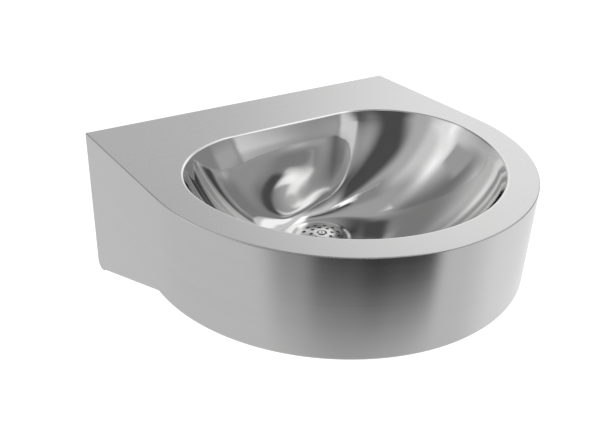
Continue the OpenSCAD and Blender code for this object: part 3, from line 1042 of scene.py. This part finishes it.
def add_camera():
    azimuth, elevation = math.radians(CAMERA_AZIMUTH), math.radians(CAMERA_ELEVATION)
    forward = Vector((math.sin(azimuth) * math.cos(elevation),
                      math.cos(azimuth) * math.cos(elevation), math.sin(elevation)))
    right = Vector((math.cos(azimuth), -math.sin(azimuth), 0))
    up = right.cross(forward)
    roll = math.radians(CAMERA_ROLL)
    turned = right * math.cos(roll) + up * math.sin(roll)
    lifted = up * math.cos(roll) - right * math.sin(roll)
    camera = bpy.data.objects.new("camera", bpy.data.cameras.new("camera"))
    camera.data.lens = CAMERA_LENS
    camera.data.sensor_width = SENSOR_W
    camera.matrix_world = Matrix((
        (turned.x, lifted.x, -forward.x, CAMERA_AT[0]),
        (turned.y, lifted.y, -forward.y, CAMERA_AT[1]),
        (turned.z, lifted.z, -forward.z, CAMERA_AT[2]),
        (0, 0, 0, 1)))
    bpy.context.scene.collection.objects.link(camera)
    bpy.context.scene.camera = camera


add_camera()


# Studio: a pale room that the camera sees as white and the steel reflects as soft panels

ROOM_LEVEL = 0.68
DIFFUSE_LEVEL = 0.75
WHITE_LEVEL = 1.0

# Name, azimuth and elevation of the middle, half width, half height, tilt, softness and level.
# Azimuth runs from the wall side (+Y) towards the right (+X); all angles are in degrees.
# A later panel lies over the earlier ones. The first 16 rows are a scratch program's fit to the
# light on the photo's bowl, rounded and then adjusted. The other rows were placed one by one.
PANELS = (
    ("grey wall on the left", -115, 35, 21, 44, 10, 12, 0.48),
    ("dark corner behind the camera", -150, 38, 27, 18, -25, 17, 0.08),
    ("tall soft box on the left", -56, 25, 5.5, 21, -25, 20, 1.2),
    ("long soft box on the left", -72, 22, 22, 4, 20, 12, 0.92),
    ("dark doorway ahead", -8, 30, 18, 24, -28, 28, 0.19),
    ("lamp high ahead", -10, 65, 10, 11, 45, 2.5, 1.75),
    ("grey ceiling", 4, 76, 36, 28, -20, 21, 0.40),
    ("window strip on the right", 106, 30, 17, 5.5, -7, 3.5, 1.1),
    ("dark under the window", 114, 3, 36, 16, 15, 10, 0.26),
    ("low wall behind on the right", 132, 10, 14, 7, 18, 9, 0.42),
    ("ceiling lamp", -160, 71, 7.5, 6.5, -5, 2, 1.45),
    ("dark furniture behind", 173, 26, 15, 10, 0, 30, 0.05),
    ("ceiling strip", -150, 67, 20, 2.5, -3, 3, 1.28),
    ("light doorway ahead", -4, 13, 6, 4, 0, 21, 0.92),
    ("dark ceiling on the left", -108, 70, 14, 12, 45, 16, 0.28),
    ("dark ceiling far right", 134, 73, 8, 14, 8, 24, 0.03),
    ("light wall behind on the right", 160, 17, 10.5, 6.5, 0, 5, 0.72),
    ("grey door ahead on the left", -31, 22, 10, 5.5, -15, 4, 0.38),
    ("dark skylight", -177, 81, 6, 5, 0, 5, 0.09),
    ("white wall ahead", 20, 24, 14, 12, 0, 16, 0.64),
    ("white wall on the right", 55, 22, 17, 12, 0, 20, 1.15),
    ("bright blind on the right", 100, 56, 30, 7, 0, 6, 1.25),
    ("pale floor close by", -164, -65, 75, 28, 0, 9, 0.68),
    ("shade behind the camera", -153, -17, 58, 19, 0, 26, 0.22),
    ("half shade on the left", -126, -15, 15, 19, 0, 14, 0.27),
    ("dark behind the camera on the left", -153, -15, 20, 20, 0, 12, 0.01),
    ("dark behind the camera on the right", -181, -15, 20, 20, 0, 10, 0.01),
    ("light floor on the right", 80, -32, 40, 16, 0, 30, 0.90),
)


class Studio:
    """The world's nodes. A value given to one is a number or another node's output."""

    def __init__(self):
        self.world = bpy.data.worlds.new("studio")
        bpy.context.scene.world = self.world
        self.world.use_nodes = True
        self.tree = self.world.node_tree
        place = self.tree.nodes.new("ShaderNodeTexCoord")
        self.direction = place.outputs["Generated"]

    def math(self, operation, *values):
        node = self.tree.nodes.new("ShaderNodeMath")
        node.operation = operation
        for socket, value in zip(node.inputs, values):
            if isinstance(value, (int, float)):
                socket.default_value = value
            else:
                self.tree.links.new(value, socket)
        return node.outputs[0]

    def dot(self, axis):
        node = self.tree.nodes.new("ShaderNodeVectorMath")
        node.operation = "DOT_PRODUCT"
        node.inputs[1].default_value = axis
        self.tree.links.new(self.direction, node.inputs[0])
        return node.outputs["Value"]

    def edge(self, value, half, soft):
        """1 inside the half width, 0 outside, smooth between, for an angle in radians."""
        node = self.tree.nodes.new("ShaderNodeMapRange")
        node.interpolation_type = "SMOOTHSTEP"
        node.inputs["From Min"].default_value = math.radians(half - soft / 2)
        node.inputs["From Max"].default_value = math.radians(half + soft / 2)
        node.inputs["To Min"].default_value = 1
        node.inputs["To Max"].default_value = 0
        self.tree.links.new(self.math("ABSOLUTE", value), node.inputs["Value"])
        return node.outputs["Result"]

    def mix(self, first, second, factor):
        node = self.tree.nodes.new("ShaderNodeMix")
        node.data_type = "FLOAT"
        for name, value in (("Factor", factor), ("A", first), ("B", second)):
            if isinstance(value, (int, float)):
                node.inputs[name].default_value = value
            else:
                self.tree.links.new(value, node.inputs[name])
        return node.outputs["Result"]

    def panel(self, below, azimuth, elevation, half_w, half_h, tilt, soft, level):
        """The level below, covered by one panel."""
        a, e, t = (math.radians(v) for v in (azimuth, elevation, tilt))
        middle = Vector((math.sin(a) * math.cos(e), math.cos(a) * math.cos(e), math.sin(e)))
        right = Vector((math.cos(a), -math.sin(a), 0))
        up = right.cross(middle)
        toward = self.dot(middle)
        across = self.math("ARCTAN2", self.dot(right * math.cos(t) + up * math.sin(t)), toward)
        mask = self.edge(across, half_w, soft)
        upright = self.math("ARCTAN2", self.dot(up * math.cos(t) - right * math.sin(t)), toward)
        mask = self.math("MULTIPLY", mask, self.edge(upright, half_h, soft))
        return self.mix(below, level, mask)

    def finish(self):
        level = ROOM_LEVEL
        for _, *panel in PANELS:
            level = self.panel(level, *panel)
        rays = self.tree.nodes.new("ShaderNodeLightPath")
        level = self.mix(level, DIFFUSE_LEVEL, rays.outputs["Is Diffuse Ray"])
        level = self.mix(level, WHITE_LEVEL, rays.outputs["Is Camera Ray"])
        background = self.tree.nodes["Background"]
        background.inputs["Color"].default_value = (1, 1, 1, 1)
        self.tree.links.new(level, background.inputs["Strength"])
        self.world.cycles.sampling_method = "NONE"


FLOOR_Z = -1.4
FLOOR_HALF = 9
FLOOR_GREY = 0.85
FLOOR_ROUGHNESS = 0.9
FLOOR_LIFT = 0.3
FILL_LEVEL = 0.3
FILL_SPREAD = 70
FILL_TILT = 25
FILL_TURN = -20


def add_floor():
    """A plain pale floor far below, which the camera sees as white."""
    corners = [(-FLOOR_HALF, -FLOOR_HALF), (FLOOR_HALF, -FLOOR_HALF),
               (FLOOR_HALF, FLOOR_HALF), (-FLOOR_HALF, FLOOR_HALF)]
    mesh = bpy.data.meshes.new("floor")
    mesh.from_pydata([(x, y, FLOOR_Z) for x, y in corners], [], [(0, 1, 2, 3)])
    floor = bpy.data.objects.new("floor", mesh)
    bpy.context.scene.collection.objects.link(floor)
    material = bpy.data.materials.new("pale_floor")
    material.use_nodes = True
    tree = material.node_tree
    shader = tree.nodes["Principled BSDF"]
    shader.inputs["Base Color"].default_value = (FLOOR_GREY, FLOOR_GREY, FLOOR_GREY, 1)
    shader.inputs["Roughness"].default_value = FLOOR_ROUGHNESS
    shader.inputs["Emission Color"].default_value = (1, 1, 1, 1)
    lift = tree.nodes.new("ShaderNodeMath")
    lift.operation = "MULTIPLY"
    lift.inputs[1].default_value = FLOOR_LIFT
    tree.links.new(tree.nodes.new("ShaderNodeLightPath").outputs["Is Camera Ray"], lift.inputs[0])
    tree.links.new(lift.outputs[0], shader.inputs["Emission Strength"])
    mesh.materials.append(material)
    floor.visible_glossy = False
    floor.visible_shadow = False


def add_fill():
    """A broad lamp from above that brightens plastic, rubber and pads, but isn't mirrored."""
    lamp = bpy.data.objects.new("fill", bpy.data.lights.new("fill", "SUN"))
    lamp.data.energy = FILL_LEVEL * math.pi
    lamp.data.angle = math.radians(FILL_SPREAD)
    lamp.rotation_euler = (math.radians(FILL_TILT), math.radians(FILL_TURN), 0)
    lamp.visible_glossy = False
    bpy.context.scene.collection.objects.link(lamp)


Studio().finish()
add_floor()
add_fill()
bpy.context.scene.view_settings.view_transform = "Standard"
